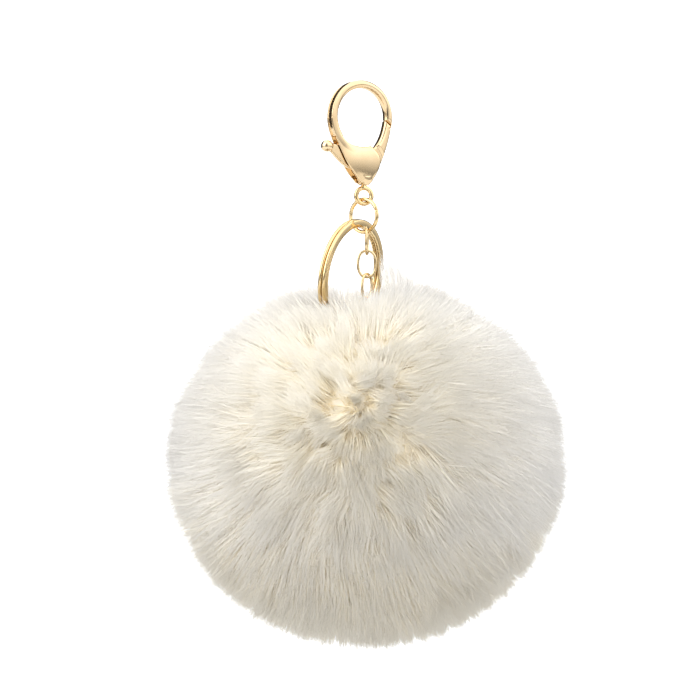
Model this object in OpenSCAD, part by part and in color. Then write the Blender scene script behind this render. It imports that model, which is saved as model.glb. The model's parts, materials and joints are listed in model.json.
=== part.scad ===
// Fur pom-pom keychain: lobster clasp with a sprung gate, swivel eye, jump ring,
// split key ring, oval-link chain and a faux-fur ball, hanging from the clasp.
// Millimetres, +Z up. The origin is the highest point of the hook's inside, where it hangs.

/* [Clasp] */
// Inside diameter of the hook's opening
hook_opening = 15.1; // [13:0.1:17]
// Thickness of the hook, measured across the opening's plane
hook_radial = 2.2; // [1.8:0.1:2.4]
// Depth of the hook, front to back
hook_depth = 2.72; // [2.4:0.02:3]
// Thickness of the two cheeks and their slot, at the middle of the bulge
bulge_depth = 4.3; // [4:0.1:5]
// Width of the slot that the lever turns in
slot_width = 1.7; // [1.6:0.05:1.8]
// How far the clasp is turned about its own hanging line
clasp_yaw = 35; // [0:1:60]
// Diameter of the lever's pin
pin_d = 1.6; // [1.4:0.1:1.8]

/* [Swivel eye and rings] */
// Outside diameter of the swivel eye
eye_od = 5.3; // [5:0.1:5.6]
// Wire diameter of the swivel eye
eye_wire = 1.2; // [1:0.1:1.3]
// Outside diameter of the jump ring
jump_od = 9.6; // [9.4:0.1:10.4]
// Wire diameter of the jump ring
jump_wire = 1.0; // [0.9:0.05:1.1]
// Outside diameter of the split ring
split_od = 30; // [28:0.5:31]
// Thickness of the split ring's coils, measured across the ring's plane
split_radial = 2.2; // [2:0.1:2.3]
// Depth of the two coils together
split_depth = 2.2; // [2:0.1:2.3]

/* [Chain] */
// Outside length of one oval link
link_length = 7.6; // [7.4:0.1:7.8]
// Outside width of one oval link
link_width = 5.4; // [5.2:0.1:5.6]
// Wire diameter of the links
link_wire = 0.75; // [0.7:0.01:0.8]

/* [Pom-pom] */
// Overall height of the fur ball
pom_height = 96; // [90:1:98]
// Overall width of the fur ball
pom_width = 101; // [96:1:104]
// Outside diameter of the knitted backing
backing_d = 49; // [47:0.5:49]
// Thickness of the knitted backing
backing_wall = 0.7; // [0.5:0.1:1]
// Radius of the hollow that the rings and the chain part in the fur
hollow_r = 20; // [19:0.5:21]

/* [Hidden] */
$fn = 96;
WIRE_FN = 32;

gold = [0.86, 0.74, 0.52];
steel = [0.72, 0.72, 0.74];
cream = [0.95, 0.93, 0.87];
thread_tan = [0.90, 0.86, 0.76];

// Gap between two wires that hang in each other
hang_gap = 0.1;

// Clasp, in its own plane: x to the gate, z up, y through its thickness
opening_r = hook_opening / 2;
hook_r = opening_r + hook_radial / 2;
hook_c = [0, -opening_r];
hook_from = -16;
hook_to = 215;
hook_round = 0.85;
pivot = [0.9, -19.4];
cheek_rim = hook_depth / 2;
bulge_c = [0.8, -18.6];
bulge_r = 22;
slot_top = -12.6;
foot_x = 1.1;
foot_r = 1.75;
foot_top = -23.4;
foot_bottom = -25.15;
socket_floor = -24.2;
socket_r = 1.3;
stud_r = 0.62;
stud_bore_r = 0.7;
head_r = 1.05;
head_h = 0.75;
pin_front = -1.75;
pin_back = 2.05;

// Lever
lever_t = slot_width - 0.2;
hub_r = 2.3;
boss_r = 1.2;
lever_bore_r = pin_d / 2 + 0.05;
gate_cut_r = 13.05;
gate_gap = 0.12;
lip_depth = 0.55;
lip_angle = 50.5;
knob_c = [-10.6, -15.2];
knob_r = 1.55;
neck_r = 0.72;

// Lever spring, coiled round the lever's boss
spring_wire_r = 0.15;
spring_r = 1.66;
spring_room_r = 2.0;
spring_y = [0.22, 0.56];

// Rings and chain
eye_r = (eye_od - eye_wire) / 2;
eye_z = foot_bottom - 0.1 - eye_od / 2;
eye_yaw = 15;
hang_x = foot_x * cos(clasp_yaw);
hang_y = foot_x * sin(clasp_yaw);
jump_r = (jump_od - jump_wire) / 2;
jump_z = eye_z - eye_r + (eye_wire + jump_wire) / 2 + hang_gap - jump_r;
jump_yaw = -38;
jump_slit = 1.5;

// A point inside the jump ring, `turn` degrees round from its lowest point
function in_jump(turn, off) = [
    hang_x + (jump_r - off) * sin(turn) * cos(jump_yaw),
    hang_y + (jump_r - off) * sin(turn) * sin(jump_yaw),
    jump_z - (jump_r - off) * cos(turn)];

split_r = (split_od - split_radial) / 2;
split_turn = -30;
split_lift = 0.27;
split_top = in_jump(split_turn, (jump_wire + split_radial) / 2 + hang_gap + split_lift);
split_yaw = 60;
split_lean = 10;
split_slit = 0.1;
split_corner = 0.35;
split_joint = 9;

link_r = (link_width - link_wire) / 2;
link_h = link_length - link_wire;
link_pitch = link_h - link_wire - hang_gap;
link_turn = 18;
link_top = in_jump(link_turn, (jump_wire + link_wire) / 2 + hang_gap);
link_yaws = [85, 5, 58, -25, 65];

// Pom-pom
pom_x = link_top[0];
pom_y = link_top[1];
anchor_yaw = -25;
anchor_wire = 0.8;
anchor_r = 2.1;
anchor_top = link_top[2] - len(link_yaws) * link_pitch;
anchor_low = anchor_top - 2 * anchor_r;
thread_r = 0.45;
backing_r = backing_d / 2;
pom_z = anchor_low - anchor_wire / 2 - 0.9 - backing_r;
gather_r = 3.2;
gather_hole_r = 2.2;
washer_r = 7;
washer_t = 0.8;
washer_hole_r = 1.9;
washer_z = pom_z + backing_r - 3.3;
knot_r = 2.3;
pile_gap = 0.3;
pile_r = pom_height / 2;
pile_out = (pom_width - pom_height) / 2;
pile_z = pom_z;
hollow_z = pile_z + pile_r + 0.6;
throat_r = 5.5;

// ---------------------------------------------------------------- shared shapes

// A cubic curve through p[0] and p[3], as points
function curve(p, n = 14, last = 1) = [for (i = [0 : n - last]) let (t = i / n, s = 1 - t)
    s * s * s * p[0] + 3 * s * s * t * p[1] + 3 * s * t * t * p[2] + t * t * t * p[3]];

// Points on an arc of radius r round c
function arc(c, r, from, to, n = 24) =
    [for (i = [0 : n]) let (a = from + (to - from) * i / n) c + r * [cos(a), sin(a)]];

module rounded_rect(w, h, r) {
    square([w, h - 2 * r], center = true);
    square([w - 2 * r, h], center = true);
    for (x = [-1, 1], y = [-1, 1])
        translate([x * (w / 2 - r), y * (h / 2 - r)])
            circle(r = r, $fn = WIRE_FN);
}

// A ring standing in the XZ plane, from and to in degrees from +X
module ring_arc(radius, from, to) {
    rotate([90, 0, 0])
        rotate([0, 0, from])
            rotate_extrude(angle = to - from)
                translate([radius, 0])
                    children();
}

module wire_ring(radius, wire, from = 0, to = 360) {
    ring_arc(radius, from, to)
        circle(d = wire, $fn = WIRE_FN);
}

// Draws a flat outline standing in the XZ plane, t thick, with its front face at y = front
module plate(t, front) {
    translate([0, front + t, 0])
        rotate([90, 0, 0])
            linear_extrude(t)
                children();
}

// A rod of radius r along Y, from y = from to y = to, round the point p of the XZ plane
module cross_rod(p, r, from, to) {
    translate([p[0], to, p[1]])
        rotate([90, 0, 0])
            cylinder(r = r, h = to - from);
}

// A straight rod between two points of the plane y = level
module rod_between(a, b, r, level = 0) {
    d = b - a;
    translate([a[0], level, a[1]])
        rotate([0, atan2(d[0], d[1]), 0])
            cylinder(r = r, h = norm(d), $fn = WIRE_FN);
}

// ---------------------------------------------------------------- clasp

module cheek_outline() {
    left_edge = curve([[-9.72, -7.9], [-9.6, -12.2], [-6.4, -18.8], [-0.75, -24.6]], last = 0);
    right_edge = curve([[2.95, -24.6], [4.3, -22.7], [6.1, -20.3], [5.75, -18.3]]);
    shoulder = curve([[5.75, -18.3], [5.5, -16.9], [4.3, -15.8], [2.4, -14.71]]);
    opening_edge = arc(hook_c, opening_r, -71.5, -172, 30);
    polygon(concat(left_edge, right_edge, shoulder, opening_edge));
}

// The region that the gate's end sweeps, seen from the front; grow widens it
module gate_sweep(grow) {
    intersection() {
        difference() {
            translate(pivot)
                circle(r = gate_cut_r - grow);
            difference() {
                translate(pivot)
                    polygon([[0, 0], 20 * [cos(lip_angle + 3 * grow), sin(lip_angle + 3 * grow)],
                             [20, -4]]);
                translate(pivot)
                    circle(r = gate_cut_r - lip_depth - grow);
            }
        }
        translate([4, -30])
            square([10, 25]);
    }
}

module hook() {
    difference() {
        translate([0, 0, hook_c[1]])
            ring_arc(hook_r, hook_from, hook_to)
                rounded_rect(hook_radial, hook_depth, hook_round);
        plate(8, -4)
            gate_sweep(0);
    }
}

module cheeks() {
    plate(2 * cheek_rim, -cheek_rim)
        cheek_outline();
    intersection() {
        plate(bulge_depth, -bulge_depth / 2)
            cheek_outline();
        translate([bulge_c[0], bulge_depth / 2 - bulge_r, bulge_c[1]])
            sphere(r = bulge_r, $fn = 128);
        translate([bulge_c[0], bulge_r - bulge_depth / 2, bulge_c[1]])
            sphere(r = bulge_r, $fn = 128);
    }
}

module clasp_body() {
    color(gold)
        rotate([0, 0, clasp_yaw])
            difference() {
                union() {
                    hook();
                    cheeks();
                    translate([foot_x, 0, foot_bottom])
                        cylinder(r = foot_r, h = foot_top - foot_bottom);
                }
                translate([-13, -slot_width / 2, foot_top])
                    cube([22, slot_width, slot_top - foot_top]);
                translate([foot_x, 0, socket_floor])
                    cylinder(r = socket_r, h = 1.9);
                translate([foot_x, 0, foot_bottom - 1])
                    cylinder(r = stud_bore_r, h = 3);
                cross_rod(pivot, pin_d / 2, pin_front, 4);
            }
}

module lever_pin() {
    color(gold)
        rotate([0, 0, clasp_yaw])
            cross_rod(pivot, pin_d / 2, pin_front, pin_back);
}

module lever_outline() {
    gate_inner = curve([[2.2, -16.6], [4.6, -15.6], [7.0, -12.6], [7.62, -7.0]]);
    gate_outer = curve([[9.75, -7.2], [9.3, -11.5], [8.2, -14.5], [6.5, -18.7]]);
    gate_root = curve([[6.5, -18.7], [5.9, -20.2], [4.6, -21.0], [2.0, -21.2]]);
    arm_under = curve([[0.0, -21.3], [-2.6, -20.2], [-4.6, -17.4], [-8.9, -15.95]]);
    arm_over = curve([[-8.9, -14.5], [-6.6, -14.6], [-3.4, -15.6], [-0.4, -17.2]]);
    polygon(concat(gate_inner, gate_outer, gate_root, arm_under, arm_over));
    translate(pivot)
        circle(r = hub_r);
}

module lever_plate() {
    intersection() {
        plate(lever_t, -lever_t / 2)
            lever_outline();
        plate(lever_t, -lever_t / 2)
            union() {
                gate_sweep(gate_gap);
                translate([-12, -30])
                    square([16.01, 25]);
            }
    }
}

// The room that the spring and its two legs have in the back half of the lever
module spring_room() {
    reach = 3.4;
    leg_from = -18;
    leg_to = -86;
    difference() {
        union() {
            cross_rod(pivot, spring_room_r, -0.05, 2);
            plate(2.05, -0.05)
                translate(pivot)
                    polygon([[0, 0], reach * [cos(leg_to), sin(leg_to)],
                             reach * [cos(leg_from), sin(leg_from)]]);
            plate(2.05, -0.05)
                translate([pivot[0] - 4.4, pivot[1] + spring_r - 0.35])
                    square([4.4, 0.7]);
        }
        cross_rod(pivot, boss_r, -1, 3);
    }
}

module clasp_lever() {
    color(gold)
        rotate([0, 0, clasp_yaw]) {
            difference() {
                lever_plate();
                spring_room();
                cross_rod(pivot, lever_bore_r, -2, 2);
            }
            rod_between([-8.0, -15.22], knob_c, neck_r);
            translate([knob_c[0], 0, knob_c[1]])
                sphere(r = knob_r, $fn = 48);
        }
}

module lever_spring() {
    color(steel)
        rotate([0, 0, clasp_yaw]) {
            translate([pivot[0], spring_y[0], pivot[1]])
                wire_ring(spring_r, 2 * spring_wire_r, -180, 90);
            translate([pivot[0], spring_y[1], pivot[1]])
                wire_ring(spring_r, 2 * spring_wire_r, 0, 180);
            cross_rod(pivot - [spring_r, 0], 0.2, spring_y[0] - 0.2, spring_y[1] + 0.2);
            rod_between(pivot + [0, spring_r], pivot + [-3.6, spring_r], spring_wire_r, spring_y[0]);
            rod_between(pivot + [spring_r, 0], pivot + [spring_r, -3.6], spring_wire_r, spring_y[1]);
        }
}

// ---------------------------------------------------------------- rings and chain

module swivel_eye() {
    color(gold)
        translate([hang_x, hang_y, 0]) {
            translate([0, 0, eye_z])
                rotate([0, 0, eye_yaw])
                    wire_ring(eye_r, eye_wire);
            translate([0, 0, eye_z + eye_r])
                cylinder(r = stud_r, h = socket_floor + 0.2 - eye_z - eye_r);
            translate([0, 0, socket_floor + 0.1])
                cylinder(r = head_r, h = head_h);
        }
}

module jump_ring() {
    color(gold)
        translate([hang_x, hang_y, jump_z])
            rotate([0, 0, jump_yaw])
                wire_ring(jump_r, jump_wire, 20 + jump_slit, 380);
}

// Two flat coils side by side, joined over a short stretch where the wire steps across
module split_ring() {
    color(gold)
        translate(split_top)
            rotate([0, split_lean, 0])
                rotate([0, 0, split_yaw])
                    translate([0, 0, -split_r])
                        difference() {
                            ring_arc(split_r, 0, 360)
                                rounded_rect(split_radial, split_depth, split_corner);
                            ring_arc(split_r, split_joint, 360 - split_joint)
                                square([2 * split_radial, split_slit], center = true);
                        }
}

// Link number i, counted from the top
module chain_link(i) {
    color(gold)
        translate(link_top - [0, 0, i * link_pitch])
            rotate([0, 0, link_yaws[i]]) {
                translate([0, 0, -link_r])
                    wire_ring(link_r, link_wire, 0, 180);
                translate([0, 0, link_r - link_h])
                    wire_ring(link_r, link_wire, 180, 360);
                for (x = [-link_r, link_r])
                    translate([x, 0, link_r - link_h])
                        cylinder(d = link_wire, h = link_h - 2 * link_r, $fn = WIRE_FN);
            }
}

module chain_link_1() chain_link(0);
module chain_link_2() chain_link(1);
module chain_link_3() chain_link(2);
module chain_link_4() chain_link(3);
module chain_link_5() chain_link(4);

// ---------------------------------------------------------------- pom-pom

module anchor_ring() {
    color(gold)
        translate([pom_x, pom_y, anchor_top - anchor_r])
            rotate([0, 0, anchor_yaw])
                wire_ring(anchor_r, anchor_wire);
}

// Stitches from the anchor ring through the gathered hole and the washer, and their knot
module anchor_thread() {
    loop_r = anchor_wire / 2 + thread_r + 0.1;
    knot_z = washer_z - knot_r - 0.05;
    color(thread_tan)
        translate([pom_x, pom_y, 0])
            rotate([0, 0, anchor_yaw + 90]) {
                translate([0, 0, anchor_low])
                    wire_ring(loop_r, 2 * thread_r, 0, 180);
                for (x = [-loop_r, loop_r])
                    translate([x, 0, knot_z])
                        cylinder(r = thread_r, h = anchor_low - knot_z, $fn = WIRE_FN);
                translate([0, 0, knot_z])
                    rotate([90, 0, 0])
                        sphere(r = knot_r, $fn = 48);
            }
}

module anchor_washer() {
    color(steel)
        translate([pom_x, pom_y, washer_z])
            difference() {
                cylinder(r = washer_r, h = washer_t);
                translate([0, 0, -1])
                    cylinder(r = washer_hole_r, h = washer_t + 2);
            }
}

module gathering_thread() {
    seat = sqrt(backing_r * backing_r - gather_r * gather_r);
    color(thread_tan)
        translate([pom_x, pom_y, pom_z + seat + thread_r])
            rotate_extrude()
                translate([gather_r, 0])
                    circle(r = 0.35, $fn = WIRE_FN);
}

module fur_backing() {
    color(cream)
        translate([pom_x, pom_y, pom_z])
            difference() {
                sphere(r = backing_r);
                sphere(r = backing_r - backing_wall);
                cylinder(r = gather_hole_r, h = backing_r + 1);
            }
}

module fibre_filling() {
    color(cream)
        difference() {
            translate([pom_x, pom_y, pom_z])
                sphere(r = backing_r - backing_wall - 0.2);
            translate([pom_x, pom_y, washer_z - 0.3])
                cylinder(r = washer_r + 0.4, h = 10);
            translate([pom_x, pom_y, washer_z - 2 * knot_r - 0.4])
                cylinder(r = knot_r + 0.3, h = 10);
        }
}

// The space that the standing fur fills, with the hollow that the rings and chain lie in
module fur_pile() {
    color(cream)
        translate([pom_x, pom_y, pile_z])
            rotate_extrude()
                difference() {
                    intersection() {
                        translate([pile_out, 0])
                            circle(r = pile_r, $fn = 128);
                        translate([0, -pile_r])
                            square([2 * pile_r, 2 * pile_r]);
                    }
                    circle(r = backing_r + pile_gap, $fn = 128);
                    translate([0, hollow_z - pile_z])
                        circle(r = hollow_r);
                    square([throat_r, pile_r]);
                }
}

clasp_body();
lever_pin();
lever_spring();
clasp_lever();
swivel_eye();
jump_ring();
split_ring();
chain_link_1();
chain_link_2();
chain_link_3();
chain_link_4();
chain_link_5();
anchor_ring();
anchor_thread();
anchor_washer();
gathering_thread();
fur_backing();
fibre_filling();
fur_pile();
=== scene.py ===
"""Looks of the fur pom-pom keychain, built round its CAD frame. Lengths are in millimetres until
a mesh is made, where MM turns them into metres."""

import json
import math

import bpy
import numpy as np
from mathutils import Matrix, Vector, kdtree


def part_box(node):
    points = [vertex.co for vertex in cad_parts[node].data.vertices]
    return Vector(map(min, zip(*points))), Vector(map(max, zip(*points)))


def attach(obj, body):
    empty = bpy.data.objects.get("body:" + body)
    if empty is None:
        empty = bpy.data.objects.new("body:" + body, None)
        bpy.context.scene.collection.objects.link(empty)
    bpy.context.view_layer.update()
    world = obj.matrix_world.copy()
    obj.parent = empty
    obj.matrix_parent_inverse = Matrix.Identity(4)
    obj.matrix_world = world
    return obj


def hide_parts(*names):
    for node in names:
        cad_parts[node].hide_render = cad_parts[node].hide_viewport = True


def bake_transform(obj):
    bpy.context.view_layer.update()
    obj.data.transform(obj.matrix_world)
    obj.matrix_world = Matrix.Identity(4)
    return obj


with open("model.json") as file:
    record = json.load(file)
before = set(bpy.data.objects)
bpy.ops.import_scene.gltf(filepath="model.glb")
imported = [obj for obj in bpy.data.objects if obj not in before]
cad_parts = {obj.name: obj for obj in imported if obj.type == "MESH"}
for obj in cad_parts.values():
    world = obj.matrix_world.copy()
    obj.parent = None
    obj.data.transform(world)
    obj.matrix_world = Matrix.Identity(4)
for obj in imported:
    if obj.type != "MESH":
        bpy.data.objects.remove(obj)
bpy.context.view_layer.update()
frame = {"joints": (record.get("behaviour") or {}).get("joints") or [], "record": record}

MM = 0.001
SEED = 4107

BODY_OF = {
    node: body
    for body, members in frame["record"]["behaviour"]["bodies"].items()
    for node in members
}
JOINTS = {joint["name"]: joint for joint in frame["joints"]}


def box_centre(node):
    """Middle of a CAD node's box, in millimetres."""
    lo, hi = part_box(node)
    return np.array((lo + hi) / 2) / MM


def joint_point(name):
    return np.array(JOINTS[name]["pos_m"]) / MM


def add_object(name, data):
    made = bpy.data.objects.new(name, data)
    bpy.context.scene.collection.objects.link(made)
    return made


# ------------------------------------------------------------------ camera

CAMERA_DISTANCE = 1.15
FRAME_WIDTH = 0.182
SENSOR = 36.0
VIEW_CENTRE = Vector((-0.0027, 0.0, -0.068))


def add_camera():
    """A long lens at the object's own height, looking along +Y."""
    data = bpy.data.cameras.new("camera")
    data.sensor_width = SENSOR
    data.lens = SENSOR * CAMERA_DISTANCE / FRAME_WIDTH
    camera = add_object("camera", data)
    camera.location = VIEW_CENTRE - Vector((0, CAMERA_DISTANCE, 0))
    camera.rotation_euler = (math.radians(90), 0, 0)
    bpy.context.scene.camera = camera


# ------------------------------------------------------------------ node materials


class Shader:
    """Short calls for building one node material."""

    def __init__(self, name, **values):
        self.material = bpy.data.materials.new(name)
        self.material.use_nodes = True
        self.tree = self.material.node_tree
        self.surface = self.tree.nodes["Principled BSDF"]
        self.set(**values)

    def feed(self, target, value):
        """Links a socket or sets a number or colour on a node's input."""
        if isinstance(value, bpy.types.NodeSocket):
            self.tree.links.new(value, target)
        else:
            target.default_value = value

    def set(self, **values):
        """Feeds the surface's inputs, whose names have _ for each space."""
        for key, value in values.items():
            self.feed(self.surface.inputs[key.replace("_", " ")], value)
        return self

    def node(self, kind, **values):
        """A new node with its inputs fed, whose names have _ for each space."""
        made = self.tree.nodes.new("ShaderNode" + kind)
        for key, value in values.items():
            self.feed(made.inputs[key.replace("_", " ")], value)
        return made

    def object_coordinates(self, scale=(1, 1, 1)):
        at = self.node("TexCoord").outputs["Object"]
        return self.node("Mapping", Scale=scale, Vector=at).outputs["Vector"]

    def split(self, vector):
        return self.node("SeparateXYZ", Vector=vector).outputs

    def noise(self, vector, scale, detail=2.0, roughness=0.5):
        made = self.node(
            "TexNoise", Vector=vector, Scale=scale, Detail=detail, Roughness=roughness
        )
        return made.outputs["Fac"]

    def wave(self, vector, scale, distortion, direction):
        made = self.node("TexWave", Vector=vector, Scale=scale, Distortion=distortion)
        made.bands_direction = direction
        return made.outputs["Fac"]

    def fit(self, value, low, high, source=(0.3, 0.7)):
        """Maps value from the source range to low..high."""
        ends = dict(From_Min=source[0], From_Max=source[1], To_Min=low, To_Max=high)
        return self.node("MapRange", Value=value, **ends).outputs["Result"]

    def mix(self, factor, a, b, mode="MIX"):
        made = self.node("Mix")
        made.data_type = "RGBA"
        made.blend_type = mode
        for key, value in (("Factor", factor), ("A", a), ("B", b)):
            self.feed(made.inputs[key], value)
        return made.outputs["Result"]

    def combine(self, operation, a, b):
        made = self.node("Math")
        made.operation = operation
        self.feed(made.inputs[0], a)
        self.feed(made.inputs[1], b)
        return made.outputs["Value"]

    def bump(self, height, depth_mm, strength):
        made = self.node("Bump", Height=height, Strength=strength, Distance=depth_mm * MM)
        return self.set(Normal=made.outputs["Normal"])


def rgb(red, green, blue):
    """A colour given in 0..255 display values, as linear RGBA."""
    linear = [
        c / 12.92 if c <= 0.04045 else ((c + 0.055) / 1.055) ** 2.4
        for c in (red / 255, green / 255, blue / 255)
    ]
    return (*linear, 1.0)


def polished_gold(name, bright, deep, roughness, grain_per_m=900.0):
    """Pale gold plating: slow colour drift, fine wipe marks and a faint orange-peel surface."""
    shader = Shader(name, Metallic=1.0)
    at = shader.object_coordinates()
    drift = shader.noise(at, grain_per_m / 6)
    wipes = shader.noise(shader.object_coordinates((1.0, 1.0, 9.0)), grain_per_m * 1.6, 4.0, 0.7)
    shader.set(
        Base_Color=shader.mix(shader.fit(drift, 0.0, 1.0), bright, deep),
        Roughness=shader.fit(wipes, roughness * 0.8, roughness * 1.3),
    )
    return shader.bump(shader.noise(at, grain_per_m * 1.1), 0.004, 0.5).material


def brushed_steel(name, tone, streaks_per_m):
    shader = Shader(name, Metallic=1.0)
    streaks = shader.noise(shader.object_coordinates((1.0, 0.06, 1.0)), streaks_per_m, 5.0, 0.7)
    shader.set(
        Base_Color=shader.mix(shader.fit(streaks, 0.0, 1.0), tone, rgb(140, 142, 148)),
        Roughness=shader.fit(streaks, 0.22, 0.42),
    )
    return shader.bump(streaks, 0.01, 0.6).material


def spun_thread(name, light, dark, twist_per_m):
    """Sewing thread: fibres twisted round the cord."""
    shader = Shader(name, Roughness=0.8)
    at = shader.object_coordinates((1.0, 1.0, 1.6))
    twist = shader.wave(at, twist_per_m, 2.5, "DIAGONAL")
    height = shader.combine("ADD", twist, shader.noise(at, twist_per_m * 3, 4.0, 0.7))
    shader.set(Base_Color=shader.mix(shader.fit(height, 0.0, 1.0, (0.4, 1.5)), dark, light))
    return shader.bump(height, 0.05, 0.8).material


def knitted_backing(name, light, dark, stitches_per_m):
    """Warp-knit cloth: rows of stitches crossed by wales."""
    shader = Shader(name, Roughness=0.9)
    rows = shader.wave(shader.object_coordinates(), stitches_per_m, 0.8, "Z")
    wales = shader.wave(shader.object_coordinates(), stitches_per_m * 0.8, 1.2, "X")
    stitch = shader.combine("MULTIPLY", rows, wales)
    shader.set(Base_Color=shader.mix(shader.fit(stitch, 0.0, 1.0, (0.0, 0.6)), dark, light))
    return shader.bump(stitch, 0.12, 0.9).material


def loose_fibre(name, light, dark, tufts_per_m):
    """Matted polyester fibre."""
    shader = Shader(name, Roughness=0.95)
    tufts = shader.noise(shader.object_coordinates(), tufts_per_m, 6.0, 0.75)
    strands = shader.noise(shader.object_coordinates((1, 7, 2)), tufts_per_m * 4, 5.0, 0.8)
    height = shader.combine("ADD", tufts, strands)
    shader.set(Base_Color=shader.mix(shader.fit(height, 0.0, 1.0, (0.7, 1.3)), dark, light))
    return shader.bump(height, 0.4, 0.9).material


STRAND_UV = "OFBake"
# Colour along a fur strand, from root to tip, for plain strands and for those of the whorl; the
# whorl's ramp also paints shade on the ball's underside
FUR_PLAIN = [(0.0, rgb(251, 244, 230)), (0.45, rgb(253, 249, 241)), (1.0, rgb(255, 253, 250))]
FUR_WHORL_AND_UNDERSIDE_SHADE = [(0.0, rgb(249, 229, 172)), (0.55, rgb(253, 239, 203)), (1.0, rgb(255, 248, 230))]


def fur_material(name):
    """Strand colour from the strand's own coordinates: u is its tint, v runs from root to tip."""
    shader = Shader(name, Roughness=0.55, Specular_IOR_Level=0.25)
    uv = shader.node("UVMap")
    uv.uv_map = STRAND_UV
    at = shader.split(uv.outputs["UV"])
    ramps = []
    for stops in (FUR_PLAIN, FUR_WHORL_AND_UNDERSIDE_SHADE):
        ramp = shader.node("ValToRGB", Fac=at["Y"])
        ramp.color_ramp.interpolation = "EASE"
        while len(ramp.color_ramp.elements) < len(stops):
            ramp.color_ramp.elements.new(0.5)
        for element, (place, colour) in zip(ramp.color_ramp.elements, stops):
            element.position = place
            element.color = colour
        ramps.append(ramp.outputs["Color"])
    shade = shader.fit(shader.noise(uv.outputs["UV"], 55.0, 0.0), 0.94, 1.0)
    colour = shader.mix(1.0, shader.mix(at["X"], *ramps), shade, "MULTIPLY")
    return shader.set(Base_Color=colour).material


def underfur_material(name, light, deep, tufts_per_m):
    """The short dense wool between the long fibres."""
    shader = Shader(name, Roughness=0.95)
    at = shader.object_coordinates()
    tufts = shader.fit(shader.noise(at, tufts_per_m, 4.0, 0.7), 0.0, 1.0)
    shader.set(Base_Color=shader.mix(tufts, deep, light))
    return shader.bump(shader.noise(at, tufts_per_m * 4, 4.0, 0.8), 0.6, 0.9).material


FINISHES = {
    "clasp_gold": (polished_gold, rgb(243, 218, 178), rgb(230, 201, 156), 0.12),
    "ring_gold": (polished_gold, rgb(242, 216, 166), rgb(230, 200, 146), 0.10),
    "split_ring_gold": (polished_gold, rgb(244, 219, 170), rgb(230, 201, 148), 0.12),
    "chain_gold": (polished_gold, rgb(244, 220, 176), rgb(232, 206, 158), 0.10),
    "spring_steel": (brushed_steel, rgb(200, 200, 204), 3000.0),
    "washer_steel": (brushed_steel, rgb(196, 198, 202), 1500.0),
    "sewing_thread": (spun_thread, rgb(240, 230, 208), rgb(196, 180, 148), 700.0),
    "knit_backing": (knitted_backing, rgb(244, 236, 214), rgb(206, 190, 152), 320.0),
    "polyester_fibre": (loose_fibre, rgb(250, 248, 242), rgb(214, 208, 196), 260.0),
    "faux_fur": (fur_material,),
    "underfur": (underfur_material, rgb(252, 246, 232), rgb(249, 238, 212), 500.0),
}
MATERIALS = {name: make(name, *values) for name, (make, *values) in FINISHES.items()}


# ------------------------------------------------------------------ meshes


def as_piece(name, node, slot_name, mesh):
    """Makes a mesh the piece that stands for a CAD node, in one of the record's materials."""
    piece = add_object(name, mesh)
    mesh.materials.append(MATERIALS[slot_name])
    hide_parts(node)
    return piece


def add_mesh(name, node, slot_name, points, faces):
    """A piece made from points in millimetres and faces."""
    mesh = bpy.data.meshes.new(name)
    mesh.from_pydata((np.asarray(points) * MM).tolist(), [], [list(f) for f in faces])
    mesh.polygons.foreach_set("use_smooth", [True] * len(mesh.polygons))
    mesh.update()
    return as_piece(name, node, slot_name, mesh)


def tie(piece, node):
    """Makes the piece ride on the body that its CAD node belongs to."""
    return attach(piece, BODY_OF[node])


def placed(points, origin, yaw=0.0, lean=0.0):
    """Turns local points by yaw about Z, then by lean about Y, and moves them to origin."""
    turn = Matrix.Rotation(math.radians(lean), 3, "Y") @ Matrix.Rotation(math.radians(yaw), 3, "Z")
    return np.asarray(points) @ np.array(turn).T + np.asarray(origin)


ORIGIN = (0, 0, 0)


def add_piece(name, node, slot_name, shape, origin=None, yaw=0.0, lean=0.0):
    """Places a shape, its points and faces, and ties it to its node's body. It goes to the
    middle of the node's box unless origin says where."""
    points, faces = shape
    where = box_centre(node) if origin is None else origin
    piece = add_mesh(name, node, slot_name, placed(points, where, yaw, lean), faces)
    return tie(piece, node)


def unit(vectors):
    return vectors / np.maximum(np.linalg.norm(vectors, axis=-1, keepdims=True), 1e-9)


ALONG_Y, ALONG_Z = (0.0, 1.0, 0.0), (0.0, 0.0, 1.0)


def sweep(path, across, section, closed=False):
    """A section swept along path. across is the section's first axis, at each station or for all,
    and section is a function of the station's number that returns points (along across, along
    the other axis)."""
    path = np.asarray(path, float)
    across = np.broadcast_to(np.asarray(across, float), path.shape)
    count = len(path)
    if closed:
        ahead, behind = np.roll(path, -1, 0), np.roll(path, 1, 0)
    else:
        ahead = np.vstack([path[1:], path[-1:]])
        behind = np.vstack([path[:1], path[:-1]])
    tangent = unit(ahead - behind)
    first = unit(across - tangent * (across * tangent).sum(1, keepdims=True))
    second = np.cross(tangent, first)
    outline = np.array([section(i) for i in range(count)])
    points = (
        path[:, None]
        + outline[:, :, :1] * first[:, None]
        + outline[:, :, 1:] * second[:, None]
    )
    sides = outline.shape[1]
    faces = []
    for i in range(count if closed else count - 1):
        a, b = i * sides, (i + 1) % count * sides
        faces += [(a + k, a + (k + 1) % sides, b + (k + 1) % sides, b + k) for k in range(sides)]
    if not closed:
        faces.append(tuple(range(sides))[::-1])
        faces.append(tuple((count - 1) * sides + k for k in range(sides)))
    return points.reshape(-1, 3), faces


def circle_section(radius, sides=20):
    turn = np.linspace(0, 2 * math.pi, sides, endpoint=False)
    outline = np.stack([np.cos(turn), np.sin(turn)], 1)
    if callable(radius):
        return lambda i: outline * radius(i)
    return lambda i: outline * radius


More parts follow.
